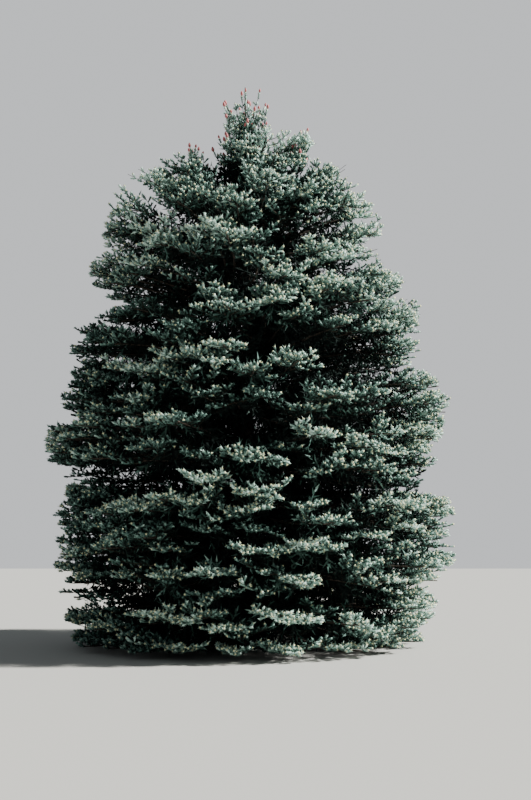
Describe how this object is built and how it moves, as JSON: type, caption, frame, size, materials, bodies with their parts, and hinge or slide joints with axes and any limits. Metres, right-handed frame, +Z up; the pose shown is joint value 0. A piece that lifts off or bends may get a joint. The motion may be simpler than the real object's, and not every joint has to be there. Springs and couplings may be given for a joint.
{
  "type": "blue spruce tree",
  "caption": "Conical blue spruce tree with shelves of silver-blue needle foliage down to the ground, rooted in level ground.",
  "frame": {"origin": "middle of the flat cut under the trunk, at ground level", "axes": "+Z up along the trunk, +X to the right and -Y towards the viewer in the picture's view"},
  "size_m": [4.7533, 4.7626, 7],
  "materials": {
    "bark": "rough scaly grey-brown bark",
    "needles": "matt waxy silver-blue needles with buff bud tips and a few dull red young cones"
  },
  "bodies": {
    "root": {"trunk": "bark", "bough_01_1": "bark", "bough_01_2": "bark", "bough_01_3": "bark", "bough_01_4": "bark", "bough_01_5": "bark", "bough_02_1": "bark", "bough_02_2": "bark", "bough_02_3": "bark", "bough_02_4": "bark", "bough_02_5": "bark", "foliage_01_1": "needles", "foliage_01_2": "needles", "foliage_01_3": "needles", "foliage_01_4": "needles", "foliage_01_5": "needles", "foliage_02_1": "needles", "foliage_02_2": "needles", "foliage_02_3": "needles", "foliage_02_4": "needles", "foliage_02_5": "needles", "foliage_03_1": "needles", "foliage_03_2": "needles", "foliage_03_3": "needles", "foliage_03_4": "needles", "foliage_03_5": "needles", "foliage_04_1": "needles", "foliage_04_2": "needles", "foliage_04_3": "needles", "foliage_04_4": "needles", "foliage_04_5": "needles", "foliage_05_1": "needles", "foliage_05_2": "needles", "foliage_05_3": "needles", "foliage_05_4": "needles", "foliage_05_5": "needles", "foliage_06_1": "needles", "foliage_06_2": "needles", "foliage_06_3": "needles", "foliage_06_4": "needles", "foliage_06_5": "needles", "foliage_07_1": "needles", "foliage_07_2": "needles", "foliage_07_3": "needles", "foliage_07_4": "needles", "foliage_07_5": "needles", "foliage_08_1": "needles", "foliage_08_2": "needles", "foliage_08_3": "needles", "foliage_08_4": "needles", "foliage_09_1": "needles", "foliage_09_2": "needles", "foliage_09_3": "needles", "foliage_09_4": "needles", "foliage_10_1": "needles", "foliage_10_2": "needles", "foliage_10_3": "needles", "foliage_11_1": "needles", "foliage_11_2": "needles", "foliage_11_3": "needles"}
  },
  "joints": []
}
